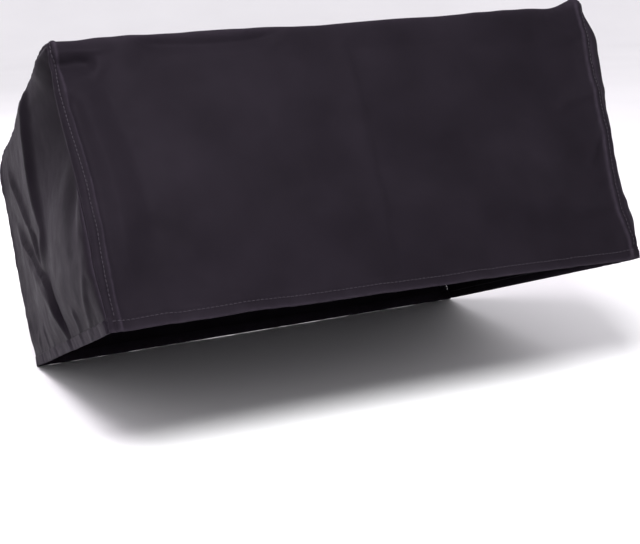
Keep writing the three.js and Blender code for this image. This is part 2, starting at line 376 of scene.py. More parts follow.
RIGHT_FOLDS = (
    Fold(0.0050, 0.010, 0.026, [
        (0.110, 0.238), (0.140, 0.205), (0.158, 0.165), (0.160, 0.120), (0.140, 0.080),
    ]),
    Fold(0.0055, 0.008, 0.030, [
        (0.345, 0.165), (0.290, 0.135), (0.235, 0.100), (0.200, 0.060), (0.180, 0.004),
    ]),
    Fold(-0.0045, 0.012, 0.008, [(0.300, 0.152), (0.240, 0.118), (0.196, 0.082), (0.166, 0.030)]),
    Fold(0.0045, 0.007, 0.012, [(0.250, 0.232), (0.238, 0.196), (0.214, 0.164), (0.205, 0.130)]),
    Fold(0.0030, 0.005, 0.010, [(0.060, -0.004), (0.058, 0.022), (0.042, 0.050)]),
    Fold(0.0020, 0.004, 0.006, [(0.282, -0.004), (0.284, 0.018), (0.292, 0.040)]),
)
RIGHT_SWELLS = (
    Swell(0.0090, (0.040, 0.208), (0.026, 0.018)),
    Swell(0.0095, (0.037, 0.178), (0.024, 0.030)),
    Swell(0.0070, (0.045, 0.130), (0.032, 0.060)),
    Swell(0.0150, (0.032, 0.028), (0.030, 0.036)),
    Swell(-0.0080, (0.120, 0.110), (0.045, 0.040)),
    Swell(0.0080, (0.345, 0.170), (0.050, 0.050)),
    Swell(0.0050, (0.240, 0.050), (0.070, 0.045)),
)
SIDE_RELIEF = {-1: (LEFT_FOLDS, LEFT_SWELLS), 1: (RIGHT_FOLDS, RIGHT_SWELLS)}
SIDE_NAMES = {-1: "left", 1: "right"}

# A side panel stands out from its seams by its fullness and its relief. Both fade out within the
# ease of a seam, and below the calm height they fade to a share of themselves at the hem.
SIDE_FULLNESS = 0.0025
SEAM_EASE = 0.018
CALM_HEIGHT = 0.035
CALM_SHARE = 0.2


# ---------- The shape of the cloth

def side_view(s, depth):
    """Places in the side view, in (y, z), at a depth under the strip's outer face."""
    origin = np.where((s < REAR_AT)[..., None], RIDGE, REAR_FOLD)
    start = np.where(s < REAR_AT, RIDGE_AT, REAR_AT)
    heading = np.where(s < RIDGE_AT, UP_FRONT, np.where(s < REAR_AT, DOWN_TOP, DOWN_BACK))
    place = origin + run(heading) * (s - start)[..., None]
    for corner, at, before, after, radius in CORNERS:
        half_turn = (before - after) / 2
        wide = radius + depth
        share = (s - at) / (wide * math.tan(half_turn))
        angle = (before + after) / 2 + np.clip(share, -1, 1) * (after - before) / 2
        reach = wide / (1 + math.cos(2 * half_turn))
        centre = corner + (inward(before) + inward(after)) * reach[..., None]
        inside = np.abs(share) < 1
        place = np.where(inside[..., None], centre - inward(angle) * wide[..., None], place)
        heading = np.where(inside, angle, heading)
    return place + inward(heading) * depth[..., None]


def half_cloth(s):
    """Half the strip's width, measured along the cloth over its rolled edge."""
    return eased(s, HALF_WIDTH) + (math.pi / 2 - 1) * eased(s, EDGE_ROLL)


def strip_shape(s, q):
    """A grid of points on the strip, with its folds."""
    s, q = np.meshgrid(s, q, indexing="ij")
    half = eased(s, HALF_WIDTH)
    roll = eased(s, EDGE_ROLL)
    across = np.abs(q) * half_cloth(s)
    past = np.maximum(across - half + roll, 0) / roll
    x = np.sign(q) * np.where(past > 0, half - roll + roll * np.sin(past), across)
    yz = side_view(s, roll * (1 - np.cos(past)))
    for side, waves in SEAM_WAVES.items():
        for out, place, reach in waves:
            share = smooth(0.3, 1.0, side * q) * peak(s - RIDGE_AT, place, reach)
            x = x + side * out * share
    points = np.concatenate([(x + eased(s, SHIFT))[..., None], yz], -1)
    points[..., 2] += eased(s, TILT) * q
    raised = relief(np.stack([x, s - RIDGE_AT], -1), STRIP_FOLDS, STRIP_SWELLS)
    return points + normals_of(points) * raised[..., None]


def panel_places(points):
    """Distance behind the front seam along the hem, and height above the hem line."""
    rel = points[..., 1:] - FRONT_HEM
    return np.stack([rel @ HEM_LINE, rel @ ABOVE_HEM], -1)


def side_shape(side, seam_s, seam, u, v):
    """A grid of points on a side panel, which fills the seam that is given as points along s."""
    def at(s):
        return np.stack([np.interp(s, seam_s, seam[:, k]) for k in range(3)], -1)

    front = at(v * RIDGE_AT)[:, None]
    back = at(STRIP_END - v * BACK_DROP)[:, None]
    top = at(RIDGE_AT + u * TOP_DEPTH)[None]
    row = u[None, :, None]
    rise = v[:, None, None]
    hem = front[:1] * (1 - row) + back[:1] * row
    high = top[:, :1] * (1 - row) + top[:, -1:] * row
    points = front * (1 - row) + back * row + hem * (1 - rise) + top * rise
    points = points - hem * (1 - rise) - high * rise
    places = panel_places(points)
    distance = edge_distance(u, v)
    ease = np.sqrt(1 - (1 - np.clip(distance / SEAM_EASE, 0, 1)) ** 2)
    calm = CALM_SHARE + (1 - CALM_SHARE) * smooth(0.0, CALM_HEIGHT, places[..., 1])
    raised = (SIDE_FULLNESS + relief(places, *SIDE_RELIEF[side])) * ease * calm
    points[..., 0] += side * raised
    return points


def edge_distance(u, v):
    """About how far a place on a side panel lies from the nearest seam."""
    u, v = np.meshgrid(u, v)
    width = (1 - v) * HEM_LENGTH + v * TOP_DEPTH
    return np.minimum(np.minimum(u, 1 - u) * width, (1 - v) * FRONT_DROP)


# ---------- Cloth simulation

# The whole cover hangs as one sewn cloth, a little slack between its holds. A hold of 1 is fixed.
SIM_FRONT_ROWS = 36
SIM_TOP_ROWS = 54
SIM_COLUMNS = 72
SIM_FRAMES = 24
SIM_SLACK = 0.003
SIM_REACH = 0.0035
SIDE_HOLD = 0.40
LOW_SIDE_HOLD = 0.60
FREE_HOLD = 0.04


def sim_grids():
    """The simulation's rows and columns on the strip, then on a side panel."""
    front = np.linspace(0, RIDGE_AT, SIM_FRONT_ROWS + 1)
    top = np.linspace(RIDGE_AT, REAR_AT, SIM_TOP_ROWS + 1)[1:]
    back = np.linspace(REAR_AT, STRIP_END, SIM_FRONT_ROWS + 1)[1:]
    s = np.concatenate([front, top, back])
    q = np.linspace(-1, 1, SIM_COLUMNS + 1)
    u = np.linspace(0, 1, SIM_TOP_ROWS + 1)
    v = np.linspace(0, 1, SIM_FRONT_ROWS + 1)
    return s, q, u, v


def sewn_indices(strip_index, side, first):
    """Vertex numbers of a side panel's grid: its three seams share the strip's vertices."""
    seam = strip_index[:, 0 if side < 0 else -1]
    rows = SIM_FRONT_ROWS + 1
    columns = SIM_TOP_ROWS + 1
    index = np.full((rows, columns), -1)
    index[:, 0] = seam[:rows]
    index[-1] = seam[rows - 1:rows - 1 + columns]
    index[:, -1] = seam[::-1][:rows]
    free = index < 0
    index[free] = first + np.arange(free.sum())
    return index, free


def quads_of(index):
    """The four corners of each cell in a grid of vertex numbers."""
    corners = [index[:-1, :-1], index[:-1, 1:], index[1:, 1:], index[1:, :-1]]
    return np.stack(corners, -1).reshape(-1, 4)


def strip_hold(s, q):
    """How firmly each place on the strip is held: 1 is fixed, 0 is free."""
    s, q = np.meshgrid(s, q, indexing="ij")
    on_ridge = 1 - smooth(0.004, 0.030, np.abs(s - RIDGE_AT))
    on_lid = 0.30 * ((s > RIDGE_AT) & (s < RIDGE_AT + 0.2))
    on_rear = 0.6 * (1 - smooth(0.01, 0.05, np.abs(s - REAR_AT)))
    on_seam = smooth(0.95, 0.995, np.abs(q))
    hem_grip = np.where(s > REAR_AT, 1.0, 0.5)
    on_hem = hem_grip * (1 - smooth(0.0, 0.02, np.minimum(s, STRIP_END - s)))
    return np.max([on_ridge, on_lid, on_rear, on_seam, on_hem, np.full(s.shape, FREE_HOLD)], axis=0)


def simulate():
    """How far the cloth moves as it settles, on the simulation's grids: the strip, then sides."""
    s, q, u, v = sim_grids()
    strip = strip_shape(s, q)
    index = np.arange(strip.shape[0] * strip.shape[1]).reshape(strip.shape[:2])
    points = [strip.reshape(-1, 3)]
    holds = [strip_hold(s, q).ravel()]
    faces = [quads_of(index)]
    side_indices = {}
    for side in SIDE_NAMES:
        panel = side_shape(side, s, strip[:, 0 if side < 0 else -1], u, v)
        numbers, free = sewn_indices(index, side, sum(len(p) for p in points))
        side_indices[side] = numbers
        points.append(panel[free])
        low = 1 - smooth(0.0, 0.12, np.broadcast_to(v[:, None], free.shape)[free])
        holds.append(SIDE_HOLD + (LOW_SIDE_HOLD - SIDE_HOLD) * low)
        faces.append(quads_of(numbers))
    points = np.concatenate(points)
    cloth = new_mesh("hanging_cloth", points, np.concatenate(faces).tolist())
    settled = settle(cloth, np.concatenate(holds))
    moved = settled - points
    length = np.linalg.norm(moved, axis=1, keepdims=True)
    moved *= np.minimum(1, SIM_REACH / np.maximum(length, 1e-9))
    return moved[index], {side: moved[numbers] for side, numbers in side_indices.items()}


def settle(cloth, hold):
    """Lets the cloth settle and gives its vertices' last places. It is removed afterwards."""
    group = cloth.vertex_groups.new(name="hold")
    for k, weight in enumerate(hold):
        group.add([k], float(weight), "REPLACE")
    modifier = cloth.modifiers.new("Cloth", "CLOTH")
    settings = modifier.settings
    settings.vertex_group_mass = "hold"
    settings.pin_stiffness = 1.0
    settings.quality = 6
    settings.mass = 0.15
    settings.tension_stiffness = 15
    settings.compression_stiffness = 15
    settings.shear_stiffness = 5
    settings.bending_stiffness = 12
    settings.shrink_min = -SIM_SLACK
    settings.shrink_max = -SIM_SLACK
    modifier.collision_settings.use_collision = False
    modifier.point_cache.frame_end = SIM_FRAMES
    scene = bpy.context.scene
    for step in range(1, SIM_FRAMES + 1):
        scene.frame_set(step)
    shown = cloth.evaluated_get(bpy.context.evaluated_depsgraph_get())
    coordinates = np.zeros(len(hold) * 3, np.float32)
    shown.data.vertices.foreach_get("co", coordinates)
    bpy.data.objects.remove(cloth)
    scene.frame_set(1)
    return coordinates.reshape(-1, 3).astype(float)


# ---------- Meshes

def add_object(name, data):
    thing = bpy.data.objects.new(name, data)
    bpy.context.scene.collection.objects.link(thing)
    return thing


def new_mesh(name, points, faces, material=None):
    """A smooth-shaded object from an array of points and a list of faces."""
    mesh = bpy.data.meshes.new(name)
    mesh.from_pydata(points.reshape(-1, 3).tolist(), [], faces)
    mesh.shade_smooth()
    if material:
        mesh.materials.append(material)
    return add_object(name, mesh)


def add_uv(mesh, places):
    """Cloth coordinates in metres, one pair for each vertex, for the weave."""
    layer = mesh.uv_layers.new(name="cloth")
    loops = np.zeros(len(mesh.loops), np.int32)
    mesh.loops.foreach_get("vertex_index", loops)
    layer.data.foreach_set("uv", np.asarray(places)[loops].astype(np.float32).ravel())


def add_attribute(mesh, name, values):
    """One number for each vertex, for the materials to read."""
    attribute = mesh.attributes.new(name, "FLOAT", "POINT")
    attribute.data.foreach_set("value", np.asarray(values, np.float32).ravel())


def above_floor(points):
    """The points with the lowest ones eased up, so that none hangs below the back hem's level."""
    margin = 0.0004
    level = BACK_HEM[1] + margin
    points = points.copy()
    height = points[..., 2]
    low = np.minimum(height, level)
    points[..., 2] = np.maximum(height, level - margin + margin * np.exp((low - level) / margin))
    return points


def slab(name, outer, inner, places, wear_and_painted_highlight, material):
    """A closed sheet between two grids of points."""
    outer = above_floor(outer)
    inner = above_floor(inner)
    rows, columns = outer.shape[:2]
    front = np.arange(rows * columns).reshape(rows, columns)
    back = front + rows * columns
    rim = np.concatenate([front[0], front[1:, -1], front[-1, -2::-1], front[-2:0:-1, 0]])
    rim_back = rim + rows * columns
    walls = np.stack([rim, rim_back, np.roll(rim_back, -1), np.roll(rim, -1)], -1)
    faces = np.concatenate([quads_of(front), quads_of(back)[:, ::-1], walls])
    points = np.concatenate([outer.reshape(-1, 3), inner.reshape(-1, 3)])
    if signed_volume(points, faces) < 0:
        faces = faces[:, ::-1]
    piece = new_mesh(name, points, faces.tolist(), material)
    smooth_faces = np.arange(len(faces)) < len(faces) - len(walls)
    piece.data.polygons.foreach_set("use_smooth", smooth_faces)
    add_uv(piece.data, np.tile(places.reshape(-1, 2), (2, 1)))
    # The pale-edge attribute for the materials: partly rubbed wear, partly a painted highlight on the
    # raised edges.
    add_attribute(piece.data, "wear_and_painted_highlight", np.tile(wear_and_painted_highlight.ravel(), 2))
    return piece


def signed_volume(points, faces):
    """Six times a closed mesh's volume, negative if its faces are inside out."""
    a, b, c, d = (points[faces[:, k]] for k in range(4))
    return float((a * np.cross(b, c)).sum() + (a * np.cross(c, d)).sum())


# A sheet is a finished grid of cloth that other pieces are laid on.
Sheet = namedtuple("Sheet", "rows columns points normals")


def on_sheet(sheet, row, column, depth=0.0):
    """Points on a sheet at rows and columns given in its own coordinates, at a depth under it."""
    r = np.interp(row, sheet.rows, np.arange(len(sheet.rows)))
    c = np.interp(column, sheet.columns, np.arange(len(sheet.columns)))
    r0 = np.minimum(r.astype(int), len(sheet.rows) - 2)
    c0 = np.minimum(c.astype(int), len(sheet.columns) - 2)
    tr = (r - r0)[..., None]
    tc = (c - c0)[..., None]

    def blend(values):
        low = values[r0, c0] * (1 - tc) + values[r0, c0 + 1] * tc
        high = values[r0 + 1, c0] * (1 - tc) + values[r0 + 1, c0 + 1] * tc
        return low * (1 - tr) + high * tr

    normal = blend(sheet.normals)
    return blend(sheet.points) - normal * np.asarray(depth)[..., None], normal


# ---------- The cloth panels

def strip_rows():
    """Rows along the strip, closer at the hems and round the two folds."""
    fine = 0.0012
    plain = 0.0036
    return graded(
        (0.014, fine), (RIDGE_AT - 0.040, plain), (RIDGE_AT + 0.022, 0.0014),
        (REAR_AT - 0.050, plain), (REAR_AT + 0.050, 0.0026), (STRIP_END - 0.014, plain),
        (STRIP_END, fine),
    )


def strip_columns():
    """Columns across the strip, closer at the seams."""
    half = half_cloth(np.array(RIDGE_AT))
    inward_from_seam = graded((0.016, 0.0009), (0.044, 0.0018), (half, 0.0035)) / half
    return np.concatenate([inward_from_seam - 1, 1 - inward_from_seam[-2::-1]])


def strip_distances(s, q):
    """How far each place on the strip lies from the nearest seam, and from the nearest hem."""
    half = half_cloth(s)[:, None]
    return half - np.abs(q[None, :] * half), np.minimum(s, STRIP_END - s)[:, None]


def hem_marks(distance):
    """The step at the top of a turned hem, and the furrow along its stitches."""
    step = 0.0007 * (1 - smooth(0.0092, 0.0106, distance))
    return step - 0.0005 * peak(distance, HEM_STITCH, 0.0008)


def strip_details(s, q):
    """The seams' welts, the hems' steps, stitch furrows, puckers and fine crumpling."""
    seam_distance, hem_distance = strip_distances(s, q)
    across = q * half_cloth(s)[0]
    ripple = unevenness(11, s, q, 0.0052, 0.9)
    welt = 0.0010 * (1 - smooth(0.0088, 0.0108, seam_distance))
    edge = -0.0012 * (1 - smooth(0.0, 0.0016, seam_distance))
    furrow = -0.0008 * peak(seam_distance, TOPSTITCH, 0.0008)
    puckers = 0.0008 * ripple * np.exp(-np.abs(seam_distance - TOPSTITCH) / 0.010)
    hem_ripple = unevenness(12, s, across, 0.9, 0.0075)
    hem_puckers = 0.0007 * hem_ripple * np.exp(-hem_distance / 0.016)
    crumple = 0.00035 * unevenness(13, s, across, 0.013, 0.013)
    crumple += 0.00060 * unevenness(14, s, across, 0.034, 0.030)
    clear = smooth(0.0, 0.003, seam_distance)
    marks = welt + edge + furrow + hem_marks(hem_distance)
    return marks + (puckers + hem_puckers + crumple) * clear


def finished(points, details, rows, columns, outward):
    """Adds the details to a grid and returns it as a sheet with outward normals."""
    points = points + normals_of(points) * details[..., None] * outward
    return Sheet(rows, columns, points, normals_of(points) * outward)


def strip_wear_and_painted_highlight(s, q):
    """Where the strip is paled along its seams, its hems and its ridge: partly rubbed wear, partly a
    painted highlight on these raised edges.
    """
    seam_distance, hem_distance = strip_distances(s, q)
    on_seam = peak(seam_distance, 0.009, 0.0012) + np.exp(-seam_distance / 0.0012)
    on_hem = np.exp(-hem_distance / 0.0012)
    on_ridge = 0.6 * peak(s, RIDGE_AT, 0.005)[:, None]
    return np.clip(on_seam + on_hem + on_ridge, 0, 1)


def side_details(side, u, v, places):
    """A side panel's hem step, stitch furrow, puckers and fine crumpling."""
    height = np.maximum(places[..., 1], 0)
    seam_distance = edge_distance(u, v)
    seed = 40 + side
    ripple = unevenness(seed, v * FRONT_DROP, u * TOP_DEPTH, 0.9, 0.0070)
    hem_puckers = 0.0005 * ripple * np.exp(-height / 0.018)
    seam_ripple = unevenness(seed + 10, v * FRONT_DROP, u * TOP_DEPTH, 0.0068, 0.0068)
    seam_gathers = 0.0006 * seam_ripple * np.exp(-seam_distance / 0.012)
    crumple = 0.0002 * unevenness(seed + 20, v * FRONT_DROP, u * TOP_DEPTH, 0.014, 0.014)
    crumple += 0.0004 * unevenness(seed + 30, v * FRONT_DROP, u * TOP_DEPTH, 0.034, 0.038)
    clear = smooth(0.0, 0.003, seam_distance)
    return (hem_marks(height) + hem_puckers + seam_gathers + crumple) * clear


def side_grid():
    """Columns and rows of a side panel, closer at its seams and its hem."""
    u = graded((0.016, 0.0016), (TOP_DEPTH - 0.016, 0.0032), (TOP_DEPTH, 0.0016)) / TOP_DEPTH
    v = graded((0.014, 0.0012), (FRONT_DROP - 0.030, 0.0032), (FRONT_DROP, 0.0014)) / FRONT_DROP
    return u, v


def spread(moved, sim_rows, sim_columns, rows, columns):
    """The simulated moves, read on a finer grid."""
    at_rows = np.interp(rows, sim_rows, np.arange(len(sim_rows)))
    at_columns = np.interp(columns, sim_columns, np.arange(len(sim_columns)))
    return resample(moved, at_rows, at_columns)


def make_sheets():
    """The finished outer faces of the strip and of the two side panels."""
    s = strip_rows()
    q = strip_columns()
    u, v = side_grid()
    strip = strip_shape(s, q)
    sides = {side: side_shape(side, s, strip[:, 0 if side < 0 else -1], u, v) for side in SIDE_NAMES}
    sim_s, sim_q, sim_u, sim_v = sim_grids()
    moved_strip, moved_sides = simulate()
    strip += spread(moved_strip, sim_s, sim_q, s, q)
    for side, moved in moved_sides.items():
        sides[side] += spread(moved, sim_v, sim_u, v, u)
    sheets = {0: finished(strip, strip_details(s, q), s, q, 1)}
    for side, points in sides.items():
        details = side_details(side, u, v, panel_places(points))
        sheets[side] = finished(points, details, v, u, -side)
    return sheets


def panel(name, sheet, places, wear_and_painted_highlight, material):
    """One ply of cloth whose outer face is the sheet."""
    inner = sheet.points - sheet.normals * CLOTH
    return slab(name, sheet.points, inner, places, wear_and_painted_highlight, material)


# ---------- Hems, seam allowances and stitching

def strip_column(s, distance, side):
    """The q that lies so far in from a seam."""
    return side * (1 - distance / half_cloth(s))


def lining(name, sheet, rows, columns, shallow, deep, material):
    """A flat band of turned cloth under a sheet. The depths are given for each of its rows."""
    outer, _ = on_sheet(sheet, rows, columns, shallow)
    inner, _ = on_sheet(sheet, rows, columns, deep)
    along = np.cumsum(np.linalg.norm(np.diff(outer[0], axis=0, prepend=outer[0][:1]), axis=-1))
    up = np.linalg.norm(outer[:, 0] - outer[0, 0], axis=-1)
    places = np.stack(np.broadcast_arrays(along[None, :], up[:, None]), -1)
    # Paler towards the band's folded edge: partly rubbed wear, partly a painted highlight on that
    # edge.
    wear_and_painted_highlight = np.broadcast_to(np.linspace(0.8, 0.2, len(outer))[:, None], outer.shape[:2])
    return slab(name, outer, inner, places, wear_and_painted_highlight, material)


def band_depths(count, width):
    """Depths of a two-ply band with softly rounded long edges."""
    top = CLOTH + 0.00005
    middle = top + PLIES / 2
    half = np.full(count, PLIES / 2)
    half[0] *= 0.45
    half[-1] *= 0.6
    return (middle - half)[:, None] * np.ones(width), (middle + half)[:, None] * np.ones(width)


# How far in from its own edge the turned cloth has its rows of points
HEM_ROWS = np.array([0.0, 0.0006, 0.003, 0.006, 0.0093, HEM])
ALLOWANCE_ROWS = np.array([0.0008, 0.0014, 0.004, 0.007, 0.0094, ALLOWANCE])


def strip_hem(name, sheet, from_back, material):
    heights = STRIP_END - HEM_ROWS if from_back else HEM_ROWS
    columns = np.linspace(-0.996, 0.996, 240)
    rows, columns = np.meshgrid(heights, columns, indexing="ij")
    return lining(name, sheet, rows, columns, *band_depths(*rows.shape), material)


def side_hem(name, sheet, material):
    rows, columns = np.meshgrid(HEM_ROWS / FRONT_DROP, np.linspace(0.008, 0.992, 180), indexing="ij")
    return lining(name, sheet, rows, columns, *band_depths(*rows.shape), material)


def seam_allowance(name, sheet, side, material):
    s = np.linspace(HEM + 0.0005, STRIP_END - HEM - 0.0005, 330)
    rows, away = np.meshgrid(s, ALLOWANCE_ROWS)
    columns = strip_column(rows, away, side)
    return lining(name, sheet, rows, columns, *band_depths(*rows.shape), material)


def stitches(name, starts, ends, normals, material, radius=THREAD_RADIUS):
    """Short stitches that dip into the cloth at both ends, all in one piece."""
    stations = np.array([0.0, 0.12, 0.35, 0.65, 0.88, 1.0])
    girth = radius * np.array([0.45, 0.85, 1.0, 1.0, 0.85, 0.45])
    lift = radius * np.array([-0.9, 0.1, 0.75, 0.75, 0.1, -0.9])
    sides = 6
    along = ends - starts
    axis = along / np.linalg.norm(along, axis=-1, keepdims=True)
    across = np.cross(axis, normals)
    across /= np.linalg.norm(across, axis=-1, keepdims=True)
    turn = np.arange(sides) / sides * 2 * math.pi
    middle = starts[:, None] + along[:, None] * stations[None, :, None]
    middle = middle + normals[:, None] * lift[None, :, None]
    ring = across[:, None] * np.cos(turn)[None, :, None]
    ring = ring + normals[:, None] * np.sin(turn)[None, :, None]
    points = middle[:, :, None] + ring[:, None] * girth[None, :, None, None]
    count = len(starts)
    index = np.arange(count * len(stations) * sides).reshape(count, len(stations), sides)
    following = np.roll(index, -1, axis=2)
    walls = np.stack([index[:, :-1], following[:, :-1], following[:, 1:], index[:, 1:]], -1)
    faces = walls.reshape(-1, 4).tolist() + index[:, 0, ::-1].tolist() + index[:, -1].tolist()
    return new_mesh(name, points, faces, material)


def stitch_row(name, sheet, start, end, place_of, depth, material):
    """Stitches between two lengths. place_of turns a length into a row and a column."""
    count = int((end - start) / STITCH_PITCH)
    first = start + STITCH_PITCH * np.arange(count)
    starts, normals = on_sheet(sheet, *place_of(first), depth)
    ends, _ = on_sheet(sheet, *place_of(first + STITCH_LENGTH), depth)
    facing = normals if depth <= 0 else -normals
    return stitches(name, starts, ends, facing, material)


def overlock(name, sheet, side, material):
    """Thread that zigzags over the raw edge of a seam allowance."""
    s = np.arange(HEM + 0.002, STRIP_END - HEM - 0.005, OVERLOCK_PITCH)
    inside = CLOTH + PLIES + 2 * STITCH_LIFT
    near = ALLOWANCE - 0.0038
    far = ALLOWANCE + 0.0002

    def thread_at(ahead, distance, depth):
        rows = s + ahead * OVERLOCK_PITCH
        return on_sheet(sheet, rows, strip_column(rows, distance, side), depth)

    first, normals = thread_at(0, near, inside)
    second, _ = thread_at(0.5, far, inside)
    third, _ = thread_at(1, near, inside)
    edge_start, _ = thread_at(0, far, inside - PLIES / 2)
    edge_end, _ = thread_at(1, far, inside - PLIES / 2)
    starts = np.concatenate([first, second, edge_start])
    ends = np.concatenate([second, third, edge_end])
    return stitches(name, starts, ends, -np.tile(normals, (3, 1)), material, OVERLOCK_RADIUS)


# ---------- Materials

def new_material(name):
    """A material with its node tree and its shader."""
    material = bpy.data.materials.new(name)
    material.use_nodes = True
    tree = material.node_tree
    return material, tree, tree.nodes["Principled BSDF"]


def set_inputs(node, **sockets):
    """Plain values for a node's sockets, with _ for each space in their names."""
    for name, value in sockets.items():
        node.inputs[name.replace("_", " ")].default_value = value
    return node


def add_node(tree, kind, **sockets):
    return set_inputs(tree.nodes.new(kind), **sockets)


def math_node(tree, operation, first, second=None):
    """One step of arithmetic on sockets or plain numbers."""
    node = tree.nodes.new("ShaderNodeMath")
    node.operation = operation
    for socket, value in zip(node.inputs, (first, second)):
        if value is None:
            continue
        if isinstance(value, (int, float)):
            socket.default_value = value
        else:
            tree.links.new(value, socket)
    return node.outputs[0]


def noise(tree, vector, scale, detail=3.0):
    node = add_node(tree, "ShaderNodeTexNoise", Scale=scale, Detail=detail)
    tree.links.new(vector, node.inputs["Vector"])
    return node.outputs["Fac"]


def ramp(tree, factor, low, high, stops=(0.3, 0.7)):
    node = tree.nodes.new("ShaderNodeValToRGB")
    node.color_ramp.elements[0].position = stops[0]
    node.color_ramp.elements[0].color = low
    node.color_ramp.elements[1].position = stops[1]
    node.color_ramp.elements[1].color = high
    tree.links.new(factor, node.inputs["Fac"])
    return node.outputs["Color"]


def gloss(tree, factor, low, high):
    """A roughness that varies from low to high."""
    return ramp(tree, factor, (low, low, low, 1), (high, high, high, 1))


def bump(tree, height, strength, distance, onto=None):
    node = add_node(tree, "ShaderNodeBump", Strength=strength, Distance=distance)
    tree.links.new(height, node.inputs["Height"])
    if onto:
        tree.links.new(onto, node.inputs["Normal"])
    return node.outputs["Normal"]


def charcoal(value):
    """A near-black with a touch of purple."""
    return (value * 1.07, value * 0.86, value * 1.20, 1.0)


def cloth_material(name, dark, light, roughness):
    """Close plain-woven black nylon with a soft sheen. Its seams, hems and ridge are paled in patches:
    partly rubbed wear, partly a painted highlight on those raised edges.
    """
    material, tree, shader = new_material(name)
    set_inputs(shader, Specular_IOR_Level=0.018, Specular_Tint=(0.97, 0.84, 1.0, 1.0))
    set_inputs(shader, Sheen_Weight=0.022, Sheen_Roughness=0.35, Sheen_Tint=(0.92, 0.80, 1.0, 1.0))
    places = tree.nodes.new("ShaderNodeUVMap")
    places.uv_map = "cloth"
    vector = places.outputs["UV"]

    split = tree.nodes.new("ShaderNodeSeparateXYZ")
    tree.links.new(vector, split.inputs[0])
    turns = 2 * math.pi / WEAVE_PITCH
    warp = math_node(tree, "SINE", math_node(tree, "MULTIPLY", split.outputs["X"], turns))
    weft = math_node(tree, "SINE", math_node(tree, "MULTIPLY", split.outputs["Y"], turns))
    weave = math_node(tree, "MULTIPLY", warp, weft)

    mottle = noise(tree, vector, 14.0, 5.0)
    colour = ramp(tree, mottle, charcoal(dark), charcoal(light))
    # The pale-edge attribute pales the cloth in patches towards a lighter charcoal: partly rubbed
    # wear, partly a painted highlight along the seams, hems and ridge.
    wear_and_highlight_attribute = tree.nodes.new("ShaderNodeAttribute")
    wear_and_highlight_attribute.attribute_name = "wear_and_painted_highlight"
    patchy = math_node(tree, "MULTIPLY", wear_and_highlight_attribute.outputs["Fac"], noise(tree, vector, 180.0))
    wear_and_highlight_mix = tree.nodes.new("ShaderNodeMix")
    wear_and_highlight_mix.data_type = "RGBA"
    tree.links.new(math_node(tree, "MULTIPLY", patchy, 0.9), wear_and_highlight_mix.inputs["Factor"])
    tree.links.new(colour, wear_and_highlight_mix.inputs["A"])
    wear_and_highlight_mix.inputs["B"].default_value = charcoal(light * 3.2)
    tree.links.new(wear_and_highlight_mix.outputs["Result"], shader.inputs["Base Color"])

    dull = gloss(tree, noise(tree, vector, 40.0, 4.0), roughness - 0.06, roughness + 0.06)
    tree.links.new(dull, shader.inputs["Roughness"])

    creased = bump(tree, noise(tree, vector, 95.0, 6.0), 0.20, 0.0012)
    woven = bump(tree, weave, 0.30, 0.00012, creased)
    tree.links.new(woven, shader.inputs["Normal"])
    return material


def thread_material(name):
    """Twisted polyester thread."""
    material, tree, shader = new_material(name)
    set_inputs(shader, Sheen_Weight=0.05, Specular_IOR_Level=0.15)
    place = tree.nodes.new("ShaderNodeTexCoord").outputs["Object"]
    colour = ramp(tree, noise(tree, place, 900.0), charcoal(0.016), charcoal(0.025))
    tree.links.new(colour, shader.inputs["Base Color"])
    tree.links.new(gloss(tree, noise(tree, place, 400.0), 0.42, 0.58), shader.inputs["Roughness"])
    twist = add_node(tree, "ShaderNodeTexWave", Scale=900.0)
    twist.bands_direction = "DIAGONAL"
    tree.links.new(place, twist.inputs["Vector"])
    tree.links.new(bump(tree, twist.outputs["Fac"], 0.5, 0.0001), shader.inputs["Normal"])
    return material


def floor_material():
    material, tree, shader = new_material("floor_pale")
    place = tree.nodes.new("ShaderNodeTexCoord")
    patches = noise(tree, place.outputs["Object"], 2.0)
    colour = ramp(tree, patches, (0.86, 0.86, 0.87, 1), (0.90, 0.90, 0.91, 1))
    tree.links.new(colour, shader.inputs["Base Color"])
    set_inputs(shader, Roughness=0.7)
    return material


# ---------- The cover's pieces

def declare(piece, node):
    """Puts a piece on the root body and hides the CAD node that it stands for."""
    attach(piece, "root")
    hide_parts(node)


def make_cover():
    sheets = make_sheets()
    strip_cloth = cloth_material("nylon_strip", 0.0062, 0.0092, 0.55)
    side_cloth = cloth_material("nylon_sides", 0.0062, 0.0092, 0.55)
    hem_cloth = cloth_material("nylon_hem", 0.0058, 0.0086, 0.60)
    thread = thread_material("sewing_thread")
    strip_pieces(sheets[0], strip_cloth, hem_cloth, thread)
    for side, side_name in SIDE_NAMES.items():
        side_pieces(sheets[side], side_name, side_cloth, hem_cloth, thread)


def strip_pieces(strip, strip_cloth, hem_cloth, thread):
    """The strip, with its hems and its seam allowances."""
    across = strip.columns[None, :] * half_cloth(strip.rows)[:, None]
    places = np.stack(np.broadcast_arrays(across, strip.rows[:, None]), -1)
    # Paled along the seams, hems and ridge: partly rubbed wear, partly a painted highlight.
    wear_and_painted_highlight = strip_wear_and_painted_highlight(strip.rows, strip.columns)
    wrap = panel("wrap_panel_cloth", strip, places, wear_and_painted_highlight, strip_cloth)
    declare(wrap, "wrap_panel")
    sewn_on = []
    for end_name, from_back in (("front", False), ("back", True)):
        sewn_on += hem_pieces(strip, end_name, from_back, hem_cloth, thread)
    for side, side_name in SIDE_NAMES.items():
        sewn_on += seam_pieces(strip, side, side_name, hem_cloth, thread)


